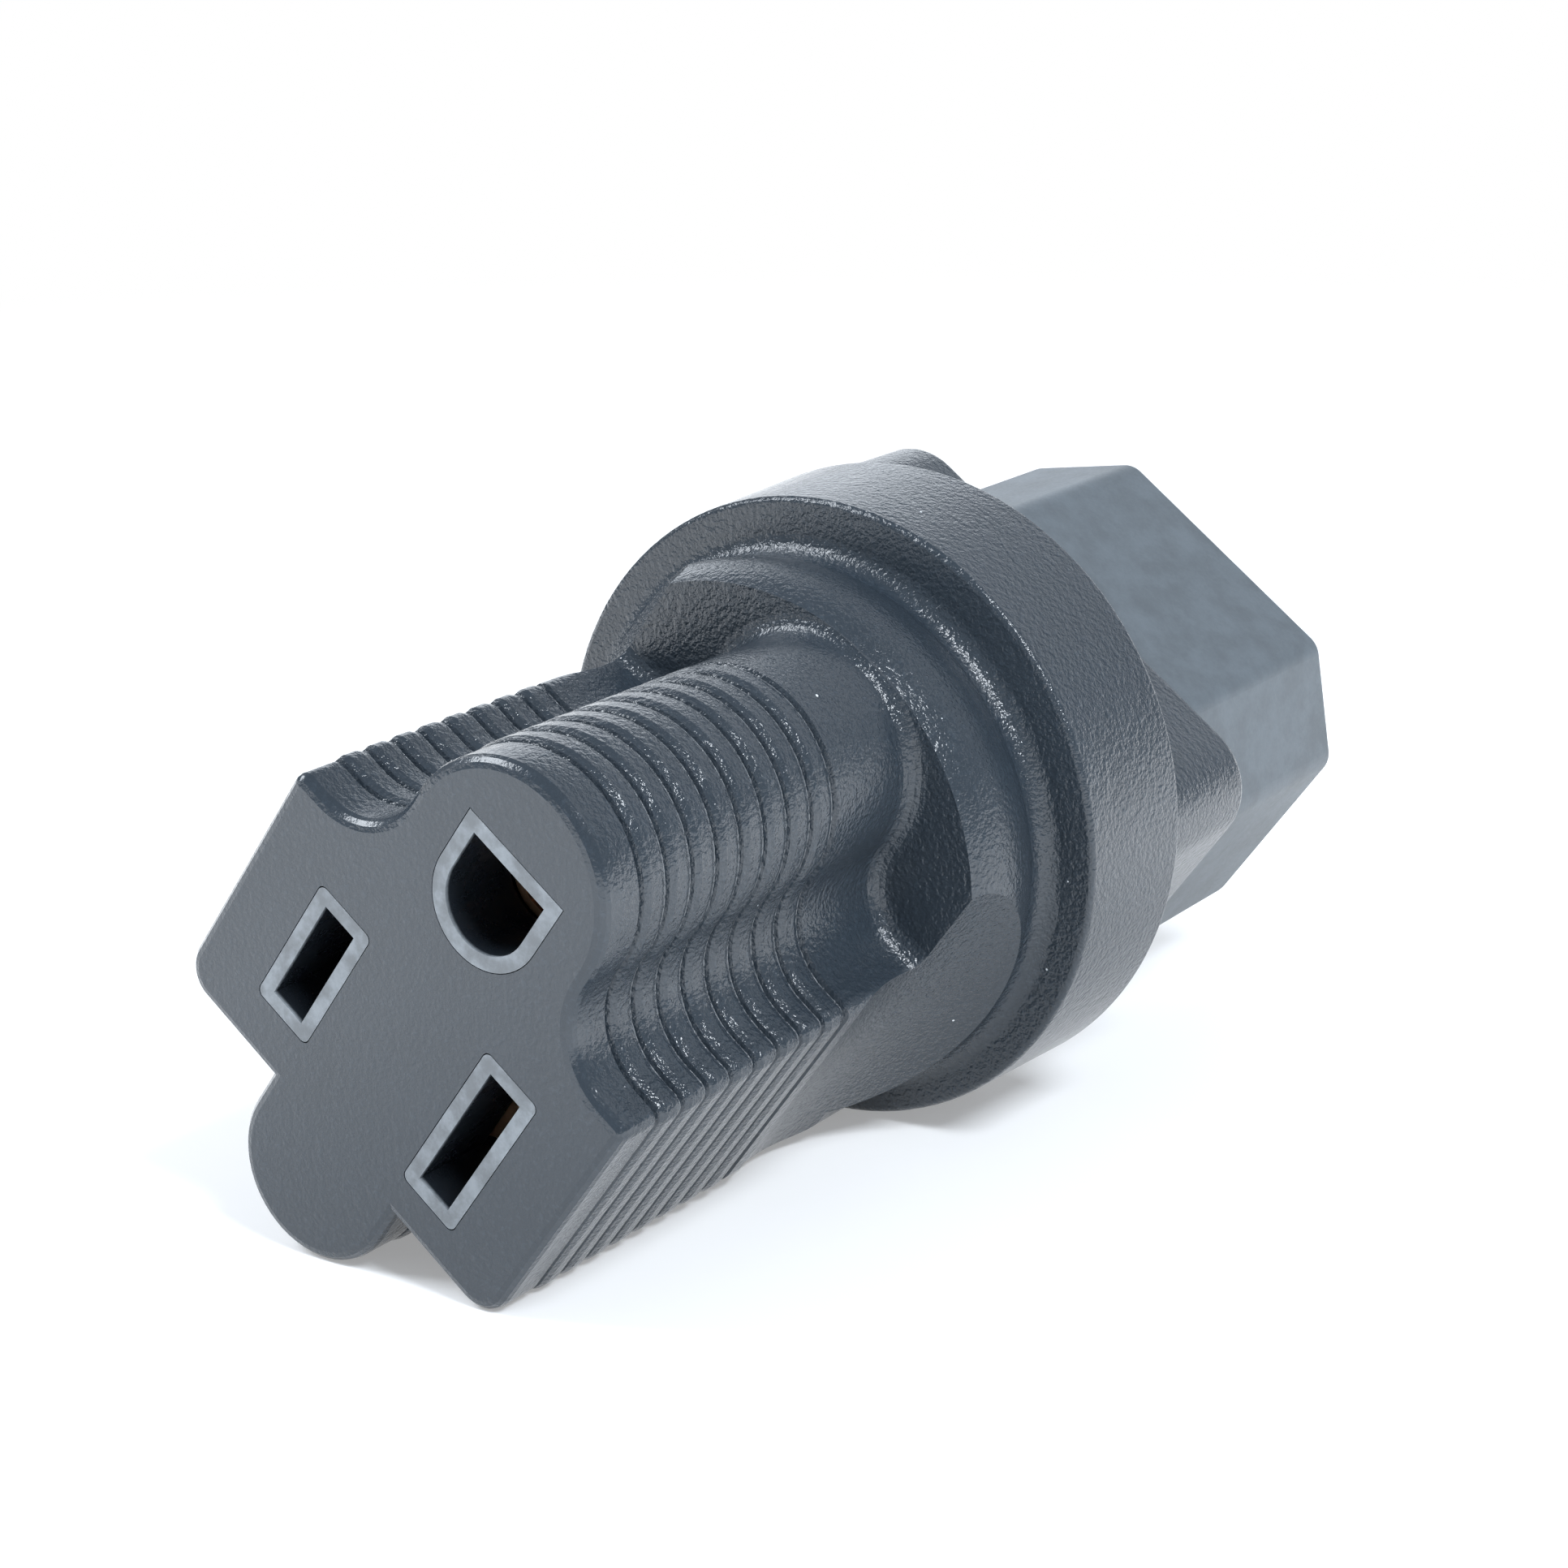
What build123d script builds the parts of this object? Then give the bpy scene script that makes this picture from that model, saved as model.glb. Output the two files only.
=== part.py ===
from build123d import *
from math import asin, atan, cos, degrees, hypot, radians, sin, sqrt
import os

# Power plug adapter: a three-hole blade socket at one end and a three-pin shrouded inlet at the other.
# Each piece is drawn in the adapter's own frame, in millimetres: Z runs from the socket face to the
# inlet rim, Y points to the ground hole, and X is to the left of someone who looks at the face.
# The finished pieces are then laid down as the adapter rests on a table.

# Socket face, by the standard for straight-blade sockets
slot_spacing = 12.7
slot_width = 2.3
line_slot_height = 7.0
neutral_slot_height = 8.8
ground_y = 11.85
ground_hole_radius = 2.68
ground_flat_y = 14.5
frame_wall = 0.86
frame_corner = 0.45

# Grip, seen on the socket face
bar_half_width = 12.9
bar_top = 8.4
bar_bottom = -7.9
bar_corner = 2.0
bar_top_corner = 0.7
lobe_y = 13.3
lobe_radius = 6.63
valley_radius = 4.4
foot_y = -10.2
foot_radius = 5.2
face_round = 0.6
face_steps = 3

# Grip ribs
rib_count = 8
rib_pitch = 2.05
first_rib = 4.0
rib_crest = 0.15
rib_shoulder = 0.02
groove_depth = 0.28
rib_half_base = 1.0
rib_half_shoulder = 0.84
rib_half_crest = 0.4
neck_growth = 0.1
groove_half_width = 0.2

# Waist, shoulder, flange and collar, along the axis
shoulder_face = 26.5
shoulder_y = 4.7
shoulder_radius = 15.8
shoulder_bulge = 16.4
shoulder_fillet = 1.2
root_radius = 1.1
root_steps = 5
waist_z = 24.5
waist_half_width = 12.35
waist_radius = 11.5
foot_runout_start = 20.0
foot_runout_bottom = -12.1
inlet_y = 5.3
flange_front = 33.9
flange_thickness = 9.2
flange_radius = 18.65
flange_draft = 0.35
flange_edge = 0.35
collar_length = 8.7
collar_half_width = 15.9
collar_half_height = 12.4
collar_corner = 4.0
collar_edge = 0.6

# Inlet insert
shroud_width = 28.3
shroud_height = 20.6
shroud_chamfer = 5.5
shroud_low_corner = 2.6
shroud_edge_round = 1.6
shroud_wall = 1.75
shroud_reach = 20.2
recess_depth = 17.0
insert_floor = 9.0
rim_round = 0.45
pin_spacing = 14.0
pin_line_drop = 2.0
pin_earth_rise = 2.0
pin_width = 2.0
pin_height = 4.0
pin_recess = 1.0
pin_tip = 0.6
pin_shoulder_growth = 0.5
pin_shoulder_length = 3.0
pin_shoulder_depth = 3.0
pin_tail_height = 2.2
pin_tail_length = 3.5

# Socket carrier and contacts
frame_depth = 3.2
carrier_back = 21.5
carrier_half_width = 10.2
carrier_top = 6.3
carrier_bottom = -6.0
carrier_corner = 1.5
turret_radius = 4.9
chamber_width = 4.5
ground_chamber_radius = 3.9
chamber_front = 1.8
cap_thickness = 2.0
strip = 0.45
leaf_clearance = 0.4
nip_half_gap = 0.65
leaf_mouth = 1.7
leaf_nip_z = 6.2
leaf_base_z = 18.6
sleeve_inner = 2.4
sleeve_length = 12.0
sleeve_slit_degrees = 50
tail_width = 2.2

# Wires and crimps
conductor_radius = 0.7
insulation_radius = 1.4
crimp_radius = 1.25
crimp_length = 3.6
duct_clearance = 0.15
wire_bend_radius = 3.0
wire_straight = 1.6
crimp_stand_off = 0.6
insulation_gap = 0.4

# Clearances between pieces that seat in one another
mould_gap = 0.05
seat_gap = 0.05
wire_gap = 0.03
beyond = 1.0
pick_margin = 0.01

# Places that follow from the sizes above
neck_start = first_rib + (rib_count - 0.5) * rib_pitch + groove_half_width
flange_back = flange_front + flange_thickness
collar_back = flange_back + collar_length
rim_z = collar_back + shroud_reach
recess_floor = rim_z - recess_depth
insert_front = recess_floor - insert_floor
cap_back = carrier_back + cap_thickness
line_x = slot_spacing / 2
neutral_x = -slot_spacing / 2
pin_low_y = inlet_y - pin_line_drop
pin_high_y = inlet_y + pin_earth_rise
pin_tip_z = rim_z - pin_recess
pin_tail_end = insert_front - pin_tail_length
pin_crimp_end = pin_tail_end - crimp_length
contact_crimp_start = cap_back + crimp_stand_off
contact_crimp_end = contact_crimp_start + crimp_length
insulation_start = contact_crimp_end + insulation_gap
insulation_end = pin_crimp_end - insulation_gap
bare_start = contact_crimp_start + strip + wire_gap
bare_end = pin_crimp_end + crimp_length - strip - wire_gap


def side_plane(height=0.0):
    """A plane along the axis: its x is the adapter's X and its y runs along the adapter's Z."""
    return Plane.XZ.offset(-height)


def corners_at(outline, y, nearest, farthest):
    """The outline's corners at one height whose distance from the middle lies in a range."""
    level = [v for v in outline.vertices() if abs(v.Y - y) < pick_margin]
    return [v for v in level if nearest - pick_margin < abs(v.X) < farthest + pick_margin]


def grip_outline():
    """The section of the grip: a wide bar with a round lobe above it and a narrow foot below."""
    room = bar_half_width - lobe_radius - 2 * bar_top_corner
    with BuildSketch() as outline:
        with Locations((0, (bar_top + bar_bottom) / 2)):
            Rectangle(2 * bar_half_width, bar_top - bar_bottom)
        with Locations((0, lobe_y)):
            Circle(lobe_radius)
        with Locations((0, (bar_bottom + lobe_y) / 2)):
            Rectangle(2 * lobe_radius, lobe_y - bar_bottom)
        with Locations((0, foot_y)):
            Circle(foot_radius)
        with Locations((0, (bar_top + foot_y) / 2)):
            Rectangle(2 * foot_radius, bar_top - foot_y)
        fillet(corners_at(outline, bar_top, 0, lobe_radius), min(valley_radius, room))
        fillet(corners_at(outline, bar_top, bar_half_width - bar_top_corner, bar_half_width), bar_top_corner)
        fillet(corners_at(outline, bar_bottom, foot_radius + bar_corner, bar_half_width), bar_corner)
    return outline.sketch


def grown(sketch, amount, height):
    """The sketch, grown by an amount and raised to a height along the axis."""
    with BuildSketch(Plane.XY.offset(height)) as section:
        add(sketch)
        if amount:
            offset(amount=amount, kind=Kind.INTERSECTION)
    return section.sketch


def rib_sections():
    """Heights and growths of the grip's sections, from the face to behind the last rib."""
    sections = []
    for i in range(face_steps + 1):
        turn = radians(90) * i / face_steps
        sections.append((face_round * (1 - cos(turn)), -face_round * (1 - sin(turn))))
    sections += [(first_rib - rib_pitch / 2 - groove_half_width, 0.0)]
    for i in range(rib_count):
        middle = first_rib + i * rib_pitch
        sections += [
            (middle - rib_half_base, -groove_depth),
            (middle - rib_half_shoulder, rib_shoulder),
            (middle - rib_half_crest, rib_crest),
            (middle + rib_half_crest, rib_crest),
            (middle + rib_half_shoulder, rib_shoulder),
            (middle + rib_half_base, -groove_depth),
        ]
    sections += [(neck_start, neck_growth)]
    return sections


def root_sections():
    """Heights and growths of the hollow curve where the grip runs into the shoulder's face."""
    sections = []
    for i in range(root_steps + 1):
        turn = radians(90) * i / root_steps
        height = shoulder_face - root_radius * (1 - sin(turn))
        sections.append((height, neck_growth + root_radius * (1 - cos(turn))))
    return sections + [(shoulder_face + root_radius, neck_growth + root_radius)]


def slot_outline(x, height, growth):
    """A blade slot, or the frame round it."""
    with BuildSketch() as outline:
        with Locations((x, 0)):
            if growth:
                RectangleRounded(slot_width + 2 * growth, height + 2 * growth, frame_corner)
            else:
                Rectangle(slot_width, height)
    return outline.sketch


def ground_outline(growth):
    """The ground hole, or the frame round it: round below and flat on top."""
    radius = ground_hole_radius + growth
    flat = ground_flat_y + growth
    with BuildSketch() as outline:
        with Locations((0, ground_y)):
            Circle(radius)
        with Locations((0, (ground_y + flat) / 2)):
            Rectangle(2 * radius, flat - ground_y)
        with Locations((0, flat + radius)):
            Rectangle(4 * radius, 2 * radius, mode=Mode.SUBTRACT)
    return outline.sketch


def frames(growth):
    """The three frames that show round the socket holes."""
    with BuildSketch() as outline:
        add(slot_outline(line_x, line_slot_height, growth))
        add(slot_outline(neutral_x, neutral_slot_height, growth))
        add(ground_outline(growth))
    return outline.sketch


def carrier_outline(growth):
    """The section of the carrier behind the face: a block with a round turret for the ground contact."""
    height = carrier_top - carrier_bottom + 2 * growth
    with BuildSketch() as outline:
        with Locations((0, (carrier_top + carrier_bottom) / 2)):
            RectangleRounded(2 * carrier_half_width + 2 * growth, height, carrier_corner)
        with Locations((0, ground_y)):
            Circle(turret_radius + growth)
        with Locations((0, ground_y / 2)):
            Rectangle(2 * (turret_radius + growth), ground_y)
    return outline.sketch


def shroud_outline(growth):
    """The section of the inlet: a rectangle with two cut corners on the earth side."""
    half_width = shroud_width / 2 + growth
    half_height = shroud_height / 2 + growth
    cut = shroud_chamfer + growth * (2 - sqrt(2))
    with BuildSketch() as outline:
        with Locations((0, inlet_y)):
            Rectangle(2 * half_width, 2 * half_height)
        chamfer(outline.vertices().group_by(Axis.Y)[-1], cut)
        fillet(outline.vertices().group_by(Axis.Y)[0], shroud_low_corner + growth / 2)
        top = [v for v in outline.vertices() if v.Y > inlet_y + half_height - cut - pick_margin]
        fillet(top, shroud_edge_round + growth / 2)
    return outline.sketch


def wire_route(start, end, from_z, to_z):
    """Straight out of one crimp, across, and straight into the other."""
    bend_a = insulation_start + wire_straight
    bend_b = insulation_end - wire_straight
    bends = [(*start, bend_a), (*end, bend_b)]
    points = [(*start, from_z), *bends, (*end, to_z)]
    with BuildLine() as route:
        FilletPolyline(*points, radius=wire_bend_radius)
    return route.wire()


# Grip: the ribbed length from the face to the waist
grip_section = grip_outline()
with BuildPart() as grip:
    sections = [grown(grip_section, growth, height) for height, growth in rib_sections()]
    loft(sections, ruled=True)

# Root: the soft hollow where the grip meets the shoulder's flat front face
with BuildPart() as root:
    loft([grown(grip_section, growth, height) for height, growth in root_sections()], ruled=True)
    with BuildSketch(Plane.XY.offset(shoulder_face - root_radius)):
        with Locations((0, shoulder_y)):
            Circle(shoulder_radius)
    extrude(amount=2 * root_radius, mode=Mode.INTERSECT)

# Neck: the waist, the shoulder with its flat front face, and the flare on both sides
with BuildPart() as neck:
    with BuildSketch(Plane.XY.offset(neck_start)):
        add(grown(grip_section, neck_growth, 0))
    extrude(amount=flange_front - neck_start + beyond)
    with BuildSketch(side_plane(shoulder_y)) as shoulder_profile:
        with BuildLine():
            front_rim = (shoulder_radius, shoulder_face)
            fillet_start = (shoulder_radius, flange_front - shoulder_fillet)
            fillet_end = (shoulder_radius + shoulder_fillet, flange_front)
            slack = shoulder_fillet * (1 - sqrt(0.5))
            inside = flange_front + beyond
            Line((0, shoulder_face), front_rim)
            ThreePointArc(front_rim, (shoulder_bulge, (shoulder_face + fillet_start[1]) / 2), fillet_start)
            ThreePointArc(fillet_start, (shoulder_radius + slack, flange_front - slack), fillet_end)
            Polyline(fillet_end, (fillet_end[0], inside), (0, inside), (0, shoulder_face))
        make_face()
    revolve(axis=Axis((0, shoulder_y, 0), (0, 0, 1)))
    add(root.part)
    with BuildSketch(side_plane()) as waist:
        arc_x = waist_half_width + waist_radius
        with Locations((0, (neck_start + flange_front + beyond) / 2)):
            Rectangle(2 * arc_x, flange_front + beyond - neck_start)
        with Locations((arc_x, waist_z), (-arc_x, waist_z)):
            Circle(waist_radius, mode=Mode.SUBTRACT)
    extrude(amount=3 * flange_radius, both=True, mode=Mode.INTERSECT)
    with BuildSketch(Plane.YZ) as foot_limit:
        with BuildLine():
            low = foot_y - foot_radius
            Polyline(
                (low - beyond, neck_start),
                (low, foot_runout_start),
                (foot_runout_bottom, flange_front),
                (foot_runout_bottom, flange_front + beyond),
                (3 * flange_radius, flange_front + beyond),
                (3 * flange_radius, neck_start),
                (low - beyond, neck_start),
            )
        make_face()
    extrude(amount=3 * flange_radius, both=True, mode=Mode.INTERSECT)

# Flange: a thick disc with softened rims
with BuildPart() as flange:
    with BuildSketch(Plane.XY.offset(flange_front)):
        with Locations((0, inlet_y)):
            Circle(flange_radius)
    extrude(amount=flange_thickness, taper=-degrees(atan(flange_draft / flange_thickness)))
    fillet(flange.edges().filter_by(GeomType.CIRCLE), flange_edge)

# Socket carrier: hard plastic, with a frame at each hole and a chamber behind it
with BuildPart() as carrier:
    with BuildSketch(Plane.XY):
        add(frames(frame_wall))
    extrude(amount=frame_depth)
    with BuildSketch(Plane.XY.offset(frame_depth)):
        add(carrier_outline(0))
    extrude(amount=carrier_back - frame_depth)
    with BuildSketch(Plane.XY):
        add(slot_outline(line_x, line_slot_height, 0))
        add(slot_outline(neutral_x, neutral_slot_height, 0))
        add(ground_outline(0))
    extrude(amount=frame_depth + chamber_front, mode=Mode.SUBTRACT)
    with BuildSketch(Plane.XY.offset(frame_depth + chamber_front)):
        with Locations((line_x, 0)):
            Rectangle(chamber_width, line_slot_height)
        with Locations((neutral_x, 0)):
            Rectangle(chamber_width, neutral_slot_height)
        with Locations((0, ground_y)):
            Circle(ground_chamber_radius)
    extrude(amount=carrier_back, mode=Mode.SUBTRACT)

# Rear cap: closes the chambers and lets the contact tails out
with BuildPart() as cap:
    with BuildSketch(Plane.XY.offset(carrier_back)):
        add(carrier_outline(0))
        with Locations((line_x, 0), (neutral_x, 0), (0, ground_y)):
            Circle(insulation_radius + duct_clearance, mode=Mode.SUBTRACT)
    extrude(amount=cap_thickness)


def blade_contact(x, slot_height):
    """A folded strip with two leaves that grip a blade, and a tail with a crimp."""
    nip = nip_half_gap + strip / 2
    side = chamber_width / 2 - seat_gap - strip / 2
    leaf_top = frame_depth + chamber_front + leaf_clearance
    leaf_width = slot_height - 2 * leaf_clearance
    with BuildPart() as contact:
        with BuildSketch(side_plane()) as fold:
            with BuildLine() as centre_line:
                FilletPolyline(
                    (x - leaf_mouth, leaf_top),
                    (x - nip, leaf_nip_z),
                    (x - side, leaf_base_z / 2 + leaf_nip_z / 2),
                    (x - side, leaf_base_z),
                    (x + side, leaf_base_z),
                    (x + side, leaf_base_z / 2 + leaf_nip_z / 2),
                    (x + nip, leaf_nip_z),
                    (x + leaf_mouth, leaf_top),
                    radius=strip,
                )
            trace(centre_line.line, line_width=strip)
        extrude(amount=leaf_width / 2, both=True)
        with BuildSketch(Plane.XY.offset(leaf_base_z)):
            with Locations((x, 0)):
                Rectangle(strip, tail_width)
        extrude(amount=contact_crimp_start - leaf_base_z + strip)
        with BuildSketch(Plane.XY.offset(contact_crimp_start)):
            with Locations((x, 0)):
                Circle(crimp_radius)
        extrude(amount=crimp_length)
        with BuildSketch(Plane.XY.offset(contact_crimp_start + strip)):
            with Locations((x, 0)):
                Circle(conductor_radius + wire_gap)
        extrude(amount=crimp_length, mode=Mode.SUBTRACT)
    return contact


line_contact = blade_contact(line_x, line_slot_height)
neutral_contact = blade_contact(neutral_x, neutral_slot_height)

# Ground contact: a rolled sleeve with two slits, a base, a tail and a crimp
with BuildPart() as ground_contact:
    sleeve_front = frame_depth + chamber_front + leaf_clearance
    with BuildSketch(Plane.XY.offset(sleeve_front)):
        with Locations((0, ground_y)):
            Circle(sleeve_inner + strip)
            Circle(sleeve_inner, mode=Mode.SUBTRACT)
    extrude(amount=sleeve_length)
    slit = 2 * (sleeve_inner + strip) * sin(radians(sleeve_slit_degrees / 2))
    with BuildSketch(Plane.XY.offset(sleeve_front)):
        with Locations((0, ground_y)):
            Rectangle(3 * sleeve_inner, slit)
    extrude(amount=sleeve_length - 2 * strip, mode=Mode.SUBTRACT)
    with BuildSketch(Plane.XY.offset(sleeve_front + sleeve_length)):
        with Locations((0, ground_y)):
            Circle(sleeve_inner + strip)
    extrude(amount=strip)
    with BuildSketch(Plane.XY.offset(sleeve_front + sleeve_length)):
        with Locations((0, ground_y)):
            Rectangle(strip, tail_width)
    extrude(amount=contact_crimp_start - sleeve_front - sleeve_length + strip)
    with BuildSketch(Plane.XY.offset(contact_crimp_start)):
        with Locations((0, ground_y)):
            Circle(crimp_radius)
    extrude(amount=crimp_length)
    with BuildSketch(Plane.XY.offset(contact_crimp_start + strip)):
        with Locations((0, ground_y)):
            Circle(conductor_radius + wire_gap)
    extrude(amount=crimp_length, mode=Mode.SUBTRACT)

# Inlet insert: hard plastic shroud with a deep recess and a thick floor that holds the pins
pin_places = {"line_pin": (pin_spacing / 2, pin_low_y), "neutral_pin": (-pin_spacing / 2, pin_low_y)}
pin_places["earth_pin"] = (0.0, pin_high_y)
with BuildPart() as inlet:
    with BuildSketch(Plane.XY.offset(insert_front)):
        add(shroud_outline(0))
    extrude(amount=rim_z - insert_front)
    fillet(inlet.faces().sort_by(Axis.Z)[-1].edges(), rim_round)
    with BuildSketch(Plane.XY.offset(recess_floor)):
        add(shroud_outline(-shroud_wall))
    extrude(amount=recess_depth + beyond, mode=Mode.SUBTRACT)
    with BuildSketch(Plane.XY.offset(insert_front)):
        with Locations(*pin_places.values()):
            Rectangle(pin_width + 2 * seat_gap, pin_height + 2 * seat_gap)
    extrude(amount=insert_floor, mode=Mode.SUBTRACT)
    with BuildSketch(Plane.XY.offset(insert_front)):
        with Locations(*pin_places.values()):
            growth = 2 * (pin_shoulder_growth + seat_gap)
            Rectangle(pin_width + growth, pin_height + growth)
    extrude(amount=pin_shoulder_depth + pin_shoulder_length + seat_gap, mode=Mode.SUBTRACT)


def inlet_pin(place):
    """A flat pin with a lead-in at the tip, a shoulder in the floor, a tail and a crimp."""
    with BuildPart() as pin:
        with BuildSketch(Plane.XY.offset(insert_front)):
            with Locations(place):
                Rectangle(pin_width, pin_height)
        extrude(amount=pin_tip_z - insert_front)
        chamfer(pin.faces().sort_by(Axis.Z)[-1].edges(), pin_tip)
        with BuildSketch(Plane.XY.offset(insert_front)):
            with Locations(place):
                Rectangle(pin_width + 2 * pin_shoulder_growth, pin_height + 2 * pin_shoulder_growth)
        extrude(amount=pin_shoulder_depth + pin_shoulder_length)
        with BuildSketch(Plane.XY.offset(pin_tail_end)):
            with Locations(place):
                Rectangle(pin_width, pin_tail_height)
        extrude(amount=pin_tail_length)
        with BuildSketch(Plane.XY.offset(pin_crimp_end)):
            with Locations(place):
                Circle(crimp_radius)
        extrude(amount=crimp_length)
        with BuildSketch(Plane.XY.offset(pin_crimp_end)):
            with Locations(place):
                Circle(conductor_radius + wire_gap)
        extrude(amount=crimp_length - strip, mode=Mode.SUBTRACT)
    return pin


def swept_tube(route, place, radius, bore):
    """A round tube or rod along a route that starts along the axis at a place."""
    with BuildPart() as tube:
        with BuildSketch(Plane.XY.offset(route.position_at(0).Z)):
            with Locations(place):
                Circle(radius)
                if bore:
                    Circle(bore, mode=Mode.SUBTRACT)
        sweep(path=route)
    return tube


# Wires: a bare conductor between two crimps, in its insulation
wire_ends = {
    "line": ((line_x, 0.0), pin_places["line_pin"]),
    "neutral": ((neutral_x, 0.0), pin_places["neutral_pin"]),
    "earth": ((0.0, ground_y), pin_places["earth_pin"]),
}
conductors = {}
insulations = {}
ducts = {}
for circuit, (start, end) in wire_ends.items():
    bare = wire_route(start, end, bare_start, bare_end)
    covered = wire_route(start, end, insulation_start, insulation_end)
    full = wire_route(start, end, cap_back - beyond, insert_front + beyond)
    conductors[circuit] = swept_tube(bare, start, conductor_radius, 0)
    insulations[circuit] = swept_tube(covered, start, insulation_radius, conductor_radius + wire_gap)
    ducts[circuit] = swept_tube(full, start, insulation_radius + duct_clearance, 0)

# Overmould: grip, neck, flange and collar in one soft plastic moulding over everything inside,
# with a duct for each wire
with BuildPart() as overmould:
    add(grip.part)
    add(neck.part)
    add(flange.part)
    with BuildSketch(Plane.XY.offset(flange_back)):
        with Locations((0, inlet_y)):
            RectangleRounded(2 * collar_half_width, 2 * collar_half_height, collar_corner)
    extrude(amount=collar_length)
    fillet(overmould.faces().sort_by(Axis.Z)[-1].edges(), collar_edge)
    add(frames(frame_wall + mould_gap))
    extrude(amount=frame_depth, mode=Mode.SUBTRACT)
    with BuildSketch(Plane.XY.offset(frame_depth - mould_gap)):
        add(carrier_outline(mould_gap))
    extrude(amount=cap_back - frame_depth + 2 * mould_gap, mode=Mode.SUBTRACT)
    with BuildSketch(Plane.XY.offset(insert_front - mould_gap)):
        add(shroud_outline(mould_gap))
    extrude(amount=collar_back - insert_front + beyond, mode=Mode.SUBTRACT)
    for duct in ducts.values():
        add(duct.part, mode=Mode.SUBTRACT)

pieces = {
    "overmould_body": overmould,
    "socket_carrier": carrier,
    "carrier_cap": cap,
    "line_contact": line_contact,
    "neutral_contact": neutral_contact,
    "ground_contact": ground_contact,
    "inlet_insert": inlet,
}
for name, place in pin_places.items():
    pieces[name] = inlet_pin(place)
for circuit in wire_ends:
    pieces[circuit + "_conductor"] = conductors[circuit]
    pieces[circuit + "_insulation"] = insulations[circuit]

# Resting place: the adapter lies on the foot, the lower corner of the bar and the back edge of the
# flange. The roll makes the foot and the corner touch the table together, and the pitch brings the
# flange down to it.
corner_x = bar_half_width - bar_corner
corner_y = bar_bottom + bar_corner
reach = hypot(corner_x, corner_y - foot_y)
roll = asin((foot_radius - bar_corner) / reach) + atan((corner_y - foot_y) / corner_x)
foot_drop = foot_radius + rib_crest - foot_y * cos(roll)
flange_drop = flange_radius + flange_draft - inlet_y * cos(roll)
touch_z = first_rib - rib_half_crest
pitch = atan((flange_drop - foot_drop) / (flange_back - flange_edge - touch_z))
axis_height = foot_drop * cos(pitch) - touch_z * sin(pitch)
resting_plane = Plane(
    origin=(0, 0, axis_height),
    x_dir=(-sin(roll) * sin(pitch), cos(roll), sin(roll) * cos(pitch)),
    z_dir=(cos(pitch), 0, sin(pitch)),
)
outside = [pieces[name].part.moved(resting_plane.location) for name in ("overmould_body", "inlet_insert")]
box = Compound(children=outside).bounding_box()
to_middle = Location((-box.center().X, -box.center().Y, -box.min.Z))
print(f"roll {degrees(roll):.3f} pitch {degrees(pitch):.3f} axis height at the face {axis_height:.4f}")
print(f"middle {box.center().X:.4f} {box.center().Y:.4f} lowest {box.min.Z:.4f}")

os.makedirs("parts", exist_ok=True)
for name, piece in pieces.items():
    piece.part.move(to_middle * resting_plane.location)
    piece.part.label = name
    export_step(piece.part, f"parts/{name}.step")
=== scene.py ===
import math

import bpy
from bpy.props import FloatProperty, FloatVectorProperty, PointerProperty
from bpy.types import Operator, Panel, PropertyGroup
from mathutils import Euler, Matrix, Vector

bl_info = {
    "name": "Power plug adapter",
    "version": (1, 0, 0),
    "blender": (4, 5, 0),
    "location": "3D View > Sidebar > Adapter",
    "description": "Gives the power plug adapter its finishes, its light and its camera",
    "category": "Object",
}

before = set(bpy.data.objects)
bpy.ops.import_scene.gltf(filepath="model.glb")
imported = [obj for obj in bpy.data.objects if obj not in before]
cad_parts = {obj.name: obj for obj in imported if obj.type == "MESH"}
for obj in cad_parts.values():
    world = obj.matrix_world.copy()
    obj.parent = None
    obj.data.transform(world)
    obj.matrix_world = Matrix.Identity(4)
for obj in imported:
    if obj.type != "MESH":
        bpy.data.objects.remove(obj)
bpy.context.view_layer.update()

MM_PER_METRE = 1000
WHITE = (1, 1, 1, 1)

# The slightly cool white of the lamps and the sky
DAYLIGHT = (0.93, 0.985, 1.05)

# Where the socket face's middle is and how the adapter's axis runs from it, in the row frame
FACE_MIDDLE = Vector((-0.0358852, 0.0032174, 0.0133252))
PITCH = math.radians(1.950)
ALONG = Vector((math.cos(PITCH), 0, math.sin(PITCH)))

# The grip's ribs, in millimetres from the socket face
FIRST_RIB = 4.0
RIB_PITCH = 2.05
RIBS_START = 3.0
RIBS_END = 20.3
RIBS_FADE = 0.1

# The beaded lip beside each groove, which is raised a little and given a painted highlight, in millimetres
# behind the middle of its rib
LIP_START = 0.68
LIP_FULL = 0.86
LIP_FADE = 0.9
LIP_END = 1.0

# Distances on the floor from the adapter's middle, in metres
UNDER_ADAPTER = 0.018
BESIDE_ADAPTER = 0.055
SHADOW_REACH = 0.12
WHITE_FROM = 0.4
FLOOR_SIZE = 12

# Where the lamps point, in metres, and the width of the camera's sensor, in millimetres
LAMP_AIM = Vector((0, 0, 0.015))
SENSOR_WIDTH = 36


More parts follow.
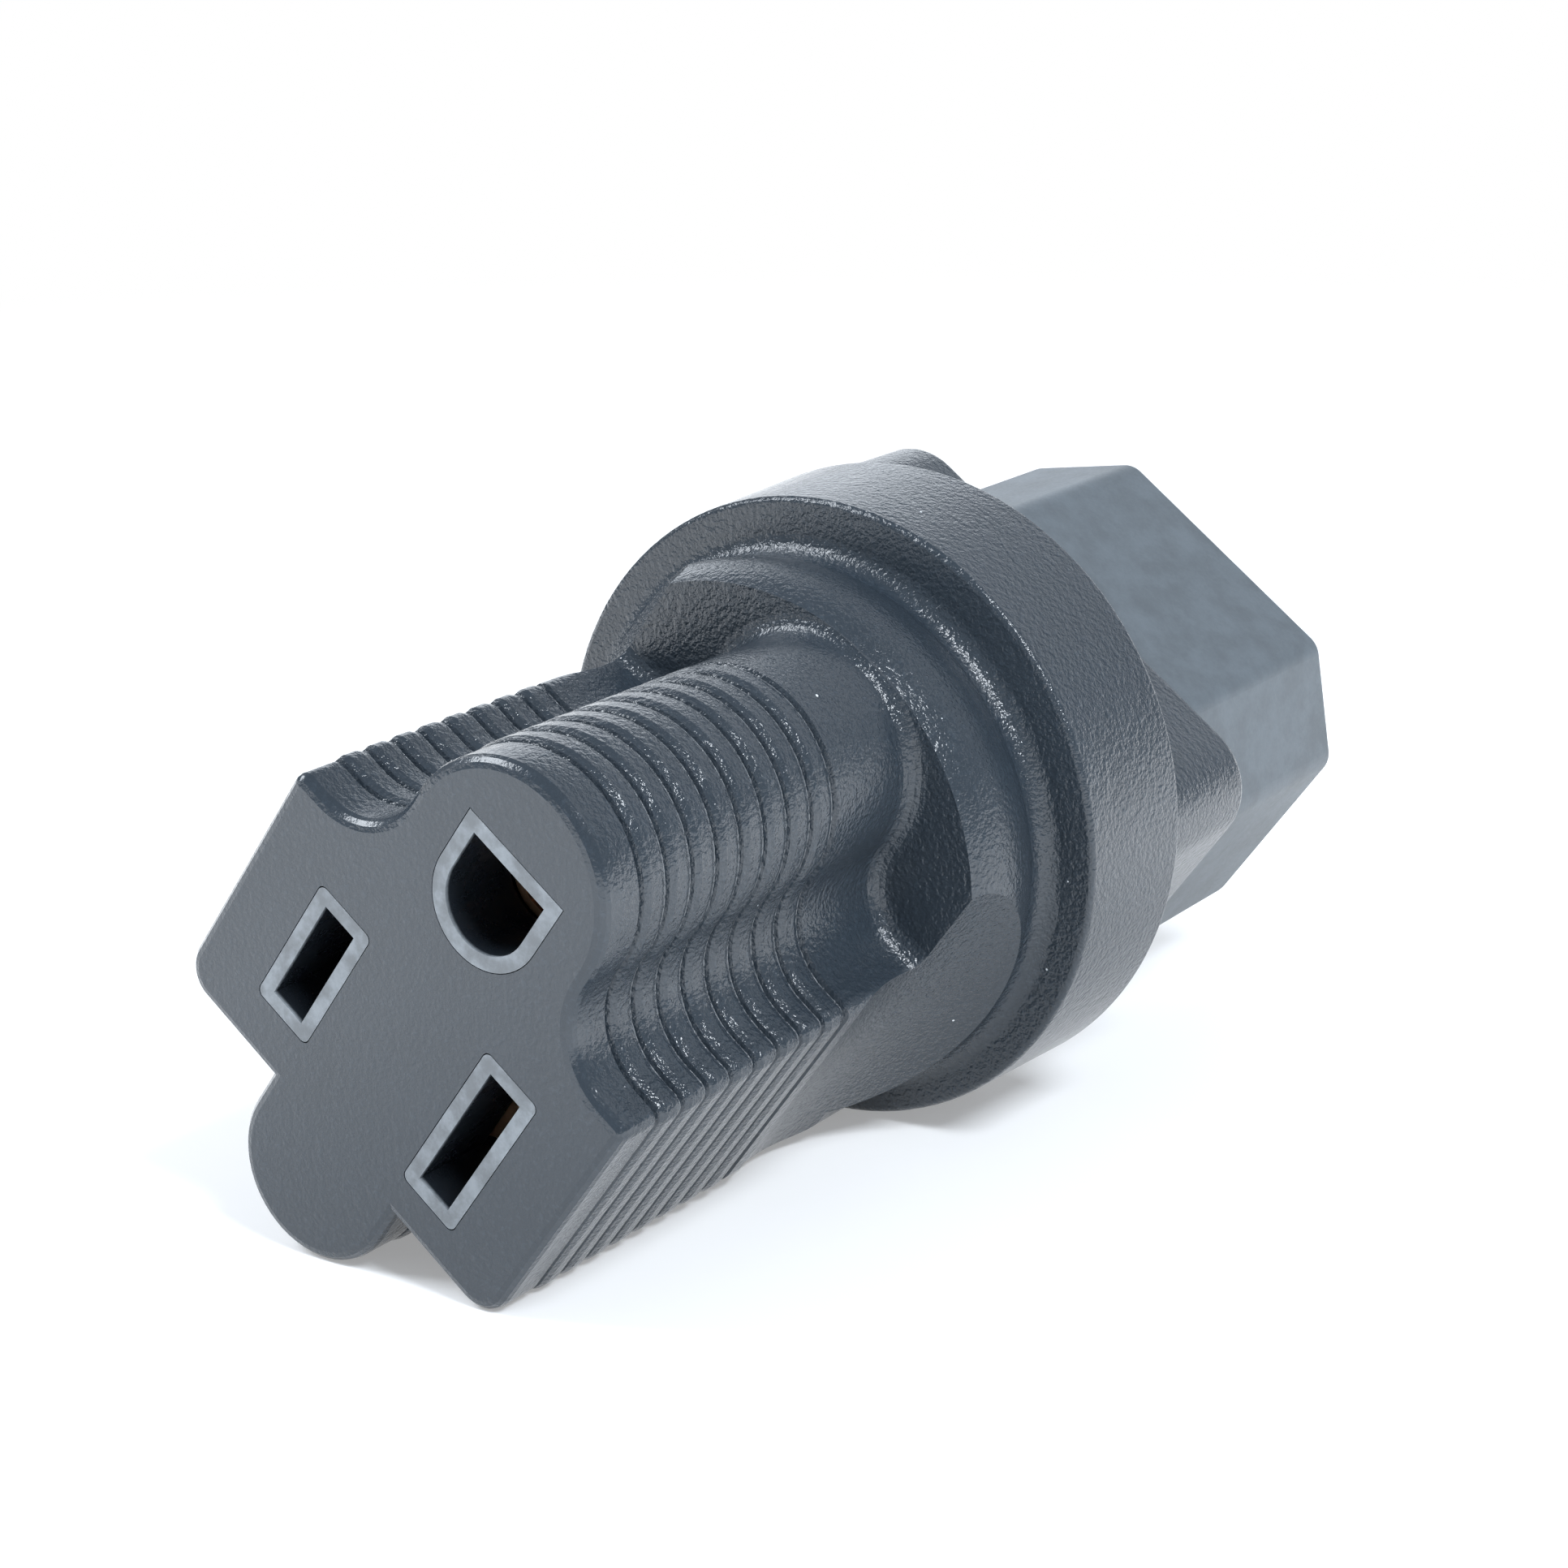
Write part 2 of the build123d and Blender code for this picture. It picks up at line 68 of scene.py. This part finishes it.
class Value:
    """A node's output, so that shader maths can be written as an expression."""

    def __init__(self, graph, socket):
        self.graph = graph
        self.socket = socket

    def maths(self, operation, *others):
        return self.graph.add("ShaderNodeMath", {"operation": operation}, (self, *others))

    def __add__(self, other):
        return self.maths("ADD", other)

    __radd__ = __add__

    def __sub__(self, other):
        return self.maths("SUBTRACT", other)

    def __rsub__(self, other):
        return self.graph.add("ShaderNodeMath", {"operation": "SUBTRACT"}, (other, self))

    def __mul__(self, other):
        return self.maths("MULTIPLY", other)

    __rmul__ = __mul__

    def __truediv__(self, other):
        return self.maths("DIVIDE", other)

    def __lt__(self, other):
        return self.maths("LESS_THAN", other)

    def smooth(self, low, high):
        """0 below the low value, 1 above the high one, and a soft step between."""
        ends = {"Value": self, "From Min": low, "From Max": high}
        return self.graph.add("ShaderNodeMapRange", {"interpolation_type": "SMOOTHSTEP"}, ends)


class Graph:
    """The node tree of one material or world."""

    def __init__(self, owner):
        self.owner = owner
        owner.use_nodes = True
        self.tree = owner.node_tree
        self.tree.nodes.clear()

    def add(self, kind, settings, inputs, output=0):
        """Adds a node, sets its settings, and then fills or links its sockets."""
        node = self.tree.nodes.new(kind)
        for name, value in settings.items():
            setattr(node, name, value)
        pairs = inputs.items() if isinstance(inputs, dict) else enumerate(inputs)
        for key, value in pairs:
            if isinstance(value, Value):
                self.tree.links.new(value.socket, node.inputs[key])
            else:
                node.inputs[key].default_value = value
        return Value(self, node.outputs[output]) if node.outputs else None

    def place(self):
        """Object coordinates, in metres in the row frame."""
        return self.add("ShaderNodeTexCoord", {}, (), "Object")

    def along_axis(self):
        """How far a point lies from the socket face along the adapter, in millimetres."""
        reach = self.vector_maths("DOT_PRODUCT", self.place(), ALONG)
        return (reach - FACE_MIDDLE.dot(ALONG)) * MM_PER_METRE

    def vector_maths(self, operation, *vectors):
        """A Vector Math node: MULTIPLY gives a vector, and the other operations a number."""
        output = "Vector" if operation == "MULTIPLY" else "Value"
        return self.add("ShaderNodeVectorMath", {"operation": operation}, vectors, output)

    def noise(self, grain_mm, detail, rough):
        scale = MM_PER_METRE / grain_mm
        inputs = {"Vector": self.place(), "Scale": scale, "Detail": detail, "Roughness": rough}
        return self.add("ShaderNodeTexNoise", {}, inputs, "Fac")

    def mixed(self, factor, first, second):
        """A colour between two others: sockets 6 and 7 of the Mix node, and its output 2."""
        return self.add("ShaderNodeMix", {"data_type": "RGBA"}, {0: factor, 6: first, 7: second}, 2)

    def mixed_shader(self, factor, first, second):
        return self.add("ShaderNodeMixShader", {}, (factor, first, second))

    def white_light(self, strength):
        return self.add("ShaderNodeEmission", {}, {"Color": WHITE, "Strength": strength})

    def bump(self, height, strength, depth_mm, normal=None):
        inputs = {"Height": height, "Strength": strength, "Distance": depth_mm / MM_PER_METRE}
        if normal:
            inputs["Normal"] = normal
        return self.add("ShaderNodeBump", {}, inputs)

    def finish(self, inputs):
        """Closes the tree with the shader and the output, and returns the material."""
        shader = self.add("ShaderNodeBsdfPrincipled", {}, inputs)
        self.add("ShaderNodeOutputMaterial", {}, {"Surface": shader})
        return self.owner


def opaque(colour):
    return (*colour, 1.0)


def shade(colour, amount):
    return tuple(c * amount for c in colour)


def dust(graph, spacing_mm, size_mm, share):
    """A mask of sparse small specks."""
    inputs = {"Vector": graph.place(), "Scale": MM_PER_METRE / spacing_mm}
    cells = graph.add("ShaderNodeTexVoronoi", {}, inputs, "Distance")
    colour = Value(graph, cells.socket.node.outputs["Color"])
    chosen = graph.add("ShaderNodeSeparateColor", {}, (colour,)) < share
    return (cells < size_mm / spacing_mm) * chosen


def lip_ridges_and_painted_highlight(graph, along, grain):
    """A mask of the beaded lips on the face's side of each groove between two ribs: where they are raised,
    and where a highlight is painted on them.
    """
    turns = (along - FIRST_RIB) / RIB_PITCH
    offset = turns.maths("FRACT") * RIB_PITCH
    lip = offset.smooth(LIP_START, LIP_FULL) * (1 - offset.smooth(LIP_FADE, LIP_END))
    start = along.smooth(RIBS_START - RIBS_FADE, RIBS_START + RIBS_FADE)
    end = along.smooth(RIBS_END - RIBS_FADE, RIBS_END + RIBS_FADE)
    ribbed = start * (1 - end)
    return lip * ribbed * grain.smooth(0.36, 0.56)


def overmould_finish(settings):
    """Soft dark plastic with the fine grain of a spark-eroded mould."""
    graph = Graph(bpy.data.materials.new("soft dark plastic"))
    colour = tuple(settings.overmould_colour)
    grain = graph.noise(grain_mm=0.3, detail=2.0, rough=0.6)
    coarse = graph.noise(grain_mm=0.8, detail=2.0, rough=0.5)
    cloud = graph.noise(grain_mm=6.0, detail=3.0, rough=0.55)
    along = graph.along_axis()
    tone = graph.mixed(cloud, opaque(shade(colour, 0.86)), opaque(shade(colour, 1.14)))
    pits = grain.smooth(0.52, 0.74)
    tone = graph.mixed(pits * 0.3, tone, opaque(shade(colour, 1.9)))
    lip_ridge_and_highlight = lip_ridges_and_painted_highlight(graph, along, grain)
    # Painted highlight: the lips are made pale grey, in the dust's hue at about a third of its brightness
    tone = graph.mixed(lip_ridge_and_highlight * 0.8, tone, opaque(shade(settings.dust_and_lip_highlight_colour, 0.36)))
    specks = dust(graph, spacing_mm=2.2, size_mm=0.09, share=0.28)
    tone = graph.mixed(specks, tone, opaque(settings.dust_and_lip_highlight_colour))
    relief = (grain + coarse * 0.35) * (0.4 + along.smooth(0.4, 2.0) * 0.6)
    fine = graph.bump(relief + lip_ridge_and_highlight * 0.8, settings.grain_strength, depth_mm=0.1)
    normal = graph.bump(cloud, 0.15, depth_mm=0.25, normal=fine)
    roughness = 0.15 + grain * 0.13
    return graph.finish({"Base Color": tone, "Roughness": roughness, "Normal": normal})


def shroud_finish(settings):
    """Hard plastic with a faint satin grain."""
    graph = Graph(bpy.data.materials.new("shroud plastic"))
    colour = tuple(settings.shroud_colour)
    cloud = graph.noise(grain_mm=3.0, detail=5.0, rough=0.7).smooth(0.3, 0.7)
    grain = graph.noise(grain_mm=0.22, detail=2.0, rough=0.5)
    tone = graph.mixed(cloud, opaque(shade(colour, 0.84)), opaque(shade(colour, 1.16)))
    specks = dust(graph, spacing_mm=3.1, size_mm=0.06, share=0.12)
    tone = graph.mixed(specks, tone, (0.75, 0.78, 0.8, 1.0))
    normal = graph.bump(grain, 0.25, depth_mm=0.03)
    roughness = 0.42 + grain * 0.16
    return graph.finish({"Base Color": tone, "Roughness": roughness, "Normal": normal})


def carrier_finish(settings):
    """Hard plastic: pale and scuffed on the frames' front, with painted shade that turns it black with depth
    inside the holes.
    """
    graph = Graph(bpy.data.materials.new("carrier plastic"))
    colour = tuple(settings.carrier_colour)
    scuffs = graph.noise(grain_mm=1.6, detail=4.0, rough=0.65).smooth(0.35, 0.7)
    tone = graph.mixed(scuffs, opaque(shade(colour, 0.8)), opaque(shade(colour, 1.5)))
    # Painted shade: the colour falls to near black within about 0.3 mm of depth into the holes, and the
    # roughness drops there
    hole_depth_painted_shade = graph.along_axis().smooth(0.02, 0.3)
    tone = graph.mixed(hole_depth_painted_shade, tone, (0.009, 0.012, 0.016, 1.0))
    normal = graph.bump(scuffs, 0.3, depth_mm=0.04)
    roughness = 0.45 + scuffs * 0.1 - hole_depth_painted_shade * 0.2
    return graph.finish({"Base Color": tone, "Roughness": roughness, "Normal": normal})


def metal_finish(name, colour, roughness):
    """Stamped metal with an uneven polish."""
    graph = Graph(bpy.data.materials.new(name))
    polish = graph.noise(grain_mm=0.3, detail=3.0, rough=0.6)
    tone = graph.mixed(polish, opaque(shade(colour, 0.82)), opaque(colour))
    normal = graph.bump(polish, 0.2, depth_mm=0.02)
    roughness = roughness + polish * 0.15
    return graph.finish({"Base Color": tone, "Metallic": 1.0, "Roughness": roughness, "Normal": normal})


def wire_finish(name, colour):
    """Plain glossy wire plastic."""
    graph = Graph(bpy.data.materials.new(name))
    cloud = graph.noise(grain_mm=1.5, detail=2.0, rough=0.5)
    tone = graph.mixed(cloud, opaque(shade(colour, 0.9)), opaque(colour))
    return graph.finish({"Base Color": tone, "Roughness": 0.3 + cloud * 0.15})


def dress(node_name, material):
    """Gives a CAD node its finish."""
    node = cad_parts[node_name]
    if not node.material_slots:
        node.data.materials.append(material)
    for slot in node.material_slots:
        slot.material = material


class AdapterFinishes(PropertyGroup):
    overmould_colour: FloatVectorProperty(
        name="Overmould", description="Colour of the soft dark plastic", subtype="COLOR",
        default=(0.024, 0.033, 0.0435), min=0, max=1)
    shroud_colour: FloatVectorProperty(
        name="Shroud", description="Colour of the hard plastic round the inlet", subtype="COLOR",
        default=(0.08, 0.099, 0.116), min=0, max=1)
    carrier_colour: FloatVectorProperty(
        name="Carrier", description="Colour of the frames round the socket holes", subtype="COLOR",
        default=(0.15, 0.168, 0.185), min=0, max=1)
    # Colour of the dust specks, and, at about a third of its brightness, of the painted highlight on the
    # ribs' lips
    dust_and_lip_highlight_colour: FloatVectorProperty(
        name="Dust", description="Colour of the dust specks", subtype="COLOR",
        default=(0.6, 0.64, 0.68), min=0, max=1)
    grain_strength: FloatProperty(
        name="Grain", description="Strength of the mould's grain", default=1.0, min=0, max=1)


class AdapterStage(PropertyGroup):
    camera_place: FloatVectorProperty(
        name="Camera place", description="Where the camera stands", subtype="TRANSLATION", unit="LENGTH",
        default=(-0.1542172, -0.1076777, 0.07327))
    camera_turn: FloatVectorProperty(
        name="Camera turn", description="How the camera is turned", subtype="EULER", unit="ROTATION",
        default=(math.radians(74.14171), math.radians(0.52868), math.radians(-54.24876)))
    lens: FloatProperty(
        name="Lens", description="Focal length in millimetres for a 36 mm sensor", default=76.184, min=10)
    back_light: FloatProperty(
        name="Back light", description="Power of the lamp behind", unit="POWER", default=1.1, min=0)
    wall_light: FloatProperty(
        name="Wall light", description="Power of the wide pale wall behind", unit="POWER", default=1.6, min=0)
    left_light: FloatProperty(
        name="Left light", description="Power of the lamp over the left", unit="POWER", default=4.8, min=0)
    right_light: FloatProperty(
        name="Right light", description="Power of the lamp over the right", unit="POWER", default=5.4, min=0)
    floor_colour: FloatVectorProperty(
        name="Floor", description="Colour of the floor", subtype="COLOR",
        default=(0.75, 0.755, 0.76), min=0, max=1)
    floor_glow: FloatProperty(
        name="Floor glow", description="How far the floor's shadow is lightened", default=0.29, min=0)
    under_bounce: FloatProperty(
        name="Bounce under", description="Light that the floor throws up under the adapter",
        default=0.45, min=0)
    floor_bounce: FloatProperty(
        name="Bounce beside", description="How much more the floor throws up beside the adapter",
        default=0.7, min=0)
    sky: FloatProperty(
        name="Sky", description="Strength of the even light all round", default=0.36, min=0)


class ADAPTER_OT_body(Operator):
    """Finishes the overmould, the inlet's shroud and the carrier with its frames"""
    bl_idname = "adapter.body"
    bl_label = "Body"

    def execute(self, context):
        settings = context.scene.adapter_finishes
        dress("overmould_body", overmould_finish(settings))
        dress("inlet_insert", shroud_finish(settings))
        carrier = carrier_finish(settings)
        dress("socket_carrier", carrier)
        dress("carrier_cap", carrier)
        return {"FINISHED"}


class ADAPTER_OT_metal(Operator):
    """Finishes the contacts, the pins and the conductors"""
    bl_idname = "adapter.metal"
    bl_label = "Contacts, pins and conductors"

    def execute(self, context):
        brass = metal_finish("contact brass", (0.8, 0.52, 0.33), 0.36)
        nickel = metal_finish("plated pin", (0.66, 0.64, 0.6), 0.22)
        copper = metal_finish("bare copper", (0.8, 0.42, 0.25), 0.3)
        for name in ("line", "neutral"):
            dress(name + "_contact", brass)
            dress(name + "_pin", nickel)
            dress(name + "_conductor", copper)
        dress("ground_contact", brass)
        dress("earth_pin", nickel)
        dress("earth_conductor", copper)
        return {"FINISHED"}


class ADAPTER_OT_wires(Operator):
    """Finishes the insulation of the three wires"""
    bl_idname = "adapter.wires"
    bl_label = "Wire insulation"

    def execute(self, context):
        dress("line_insulation", wire_finish("black wire", (0.02, 0.02, 0.022)))
        dress("neutral_insulation", wire_finish("white wire", (0.75, 0.75, 0.72)))
        dress("earth_insulation", wire_finish("green wire", (0.03, 0.3, 0.08)))
        return {"FINISHED"}


def floor_finish(settings):
    """A plain pale surface that fades to white away from the adapter and keeps its shadow."""
    graph = Graph(bpy.data.materials.new("pale floor"))
    seen = graph.add("ShaderNodeLightPath", {}, (), "Is Camera Ray")
    away = graph.vector_maths("LENGTH", graph.place()).smooth(SHADOW_REACH, WHITE_FROM)
    long_way_halved = graph.vector_maths("MULTIPLY", graph.place(), (0.5, 1, 1))
    beside = graph.vector_maths("LENGTH", long_way_halved).smooth(UNDER_ADAPTER, BESIDE_ADAPTER)
    under_light = graph.white_light(settings.under_bounce)
    beside_light = graph.white_light(settings.under_bounce + settings.floor_bounce)
    bounce = graph.mixed_shader(beside, under_light, beside_light)
    glow = graph.mixed_shader(seen, bounce, graph.white_light(settings.floor_glow))
    surface = graph.add("ShaderNodeBsdfDiffuse", {}, {"Color": opaque(settings.floor_colour)})
    lit = graph.add("ShaderNodeAddShader", {}, (surface, glow))
    floor = graph.mixed_shader(seen * away, lit, graph.white_light(1.0))
    graph.add("ShaderNodeOutputMaterial", {}, {"Surface": floor})
    return graph.owner


def even_sky(strength):
    """White where the camera sees it, and dimmer daylight for the adapter."""
    graph = Graph(bpy.data.worlds.new("pale room"))
    seen = graph.add("ShaderNodeLightPath", {}, (), "Is Camera Ray")
    tint = graph.mixed(seen, opaque(shade(DAYLIGHT, strength)), WHITE)
    light = graph.add("ShaderNodeBackground", {}, {"Color": tint})
    graph.add("ShaderNodeOutputWorld", {}, {"Surface": light})
    return graph.owner


def soft_lamp(name, place, size, power):
    """A square lamp that faces the adapter."""
    bpy.ops.object.light_add(type="AREA", location=place)
    lamp = bpy.context.object
    lamp.name = name
    lamp.rotation_euler = (LAMP_AIM - Vector(place)).to_track_quat("-Z", "Y").to_euler()
    lamp.data.size = size
    lamp.data.color = DAYLIGHT
    lamp.data.energy = power


class ADAPTER_OT_stage(Operator):
    """Adds the floor, the lamps, the sky and the camera"""
    bl_idname = "adapter.stage"
    bl_label = "Stage"

    def execute(self, context):
        settings = context.scene.adapter_stage
        bpy.ops.object.select_all(action="DESELECT")
        bpy.ops.mesh.primitive_plane_add(size=FLOOR_SIZE, location=(0, 0, 0))
        floor = context.object
        floor.name = "floor"
        floor.data.materials.append(floor_finish(settings))
        soft_lamp("back_lamp", (0.59, 0.46, 0.28), size=0.45, power=settings.back_light)
        soft_lamp("wall", (0.72, -0.12, 0.34), size=0.85, power=settings.wall_light)
        soft_lamp("left_lamp", (-0.28, 0.5, 0.56), size=0.34, power=settings.left_light)
        soft_lamp("right_lamp", (-0.16, -0.48, 0.58), size=0.2, power=settings.right_light)
        context.scene.world = even_sky(settings.sky)
        camera = bpy.data.objects.new("camera", bpy.data.cameras.new("camera"))
        context.collection.objects.link(camera)
        camera.location = settings.camera_place
        camera.rotation_euler = Euler(settings.camera_turn, "XYZ")
        camera.data.lens = settings.lens
        camera.data.sensor_width = SENSOR_WIDTH
        camera.data.clip_start = 0.01
        context.scene.camera = camera
        context.scene.view_settings.view_transform = "Standard"
        return {"FINISHED"}


class ADAPTER_PT_build(Panel):
    """Lists the adapter's settings and the buttons that dress it"""
    bl_label = "Adapter"
    bl_idname = "ADAPTER_PT_build"
    bl_space_type = "VIEW_3D"
    bl_region_type = "UI"
    bl_category = "Adapter"

    def draw(self, context):
        for group in (context.scene.adapter_finishes, context.scene.adapter_stage):
            for name in group.__annotations__:
                self.layout.prop(group, name)
        for operator in OPERATORS:
            self.layout.operator(operator.bl_idname)


OPERATORS = (ADAPTER_OT_body, ADAPTER_OT_metal, ADAPTER_OT_wires, ADAPTER_OT_stage)
CLASSES = (AdapterFinishes, AdapterStage, *OPERATORS, ADAPTER_PT_build)


def register():
    for item in CLASSES:
        bpy.utils.register_class(item)
    bpy.types.Scene.adapter_finishes = PointerProperty(type=AdapterFinishes)
    bpy.types.Scene.adapter_stage = PointerProperty(type=AdapterStage)


def unregister():
    del bpy.types.Scene.adapter_stage
    del bpy.types.Scene.adapter_finishes
    for item in reversed(CLASSES):
        bpy.utils.unregister_class(item)


def main():
    register()
    bpy.ops.adapter.body()
    bpy.ops.adapter.metal()
    bpy.ops.adapter.wires()
    bpy.ops.adapter.stage()


if __name__ == "__main__":
    main()
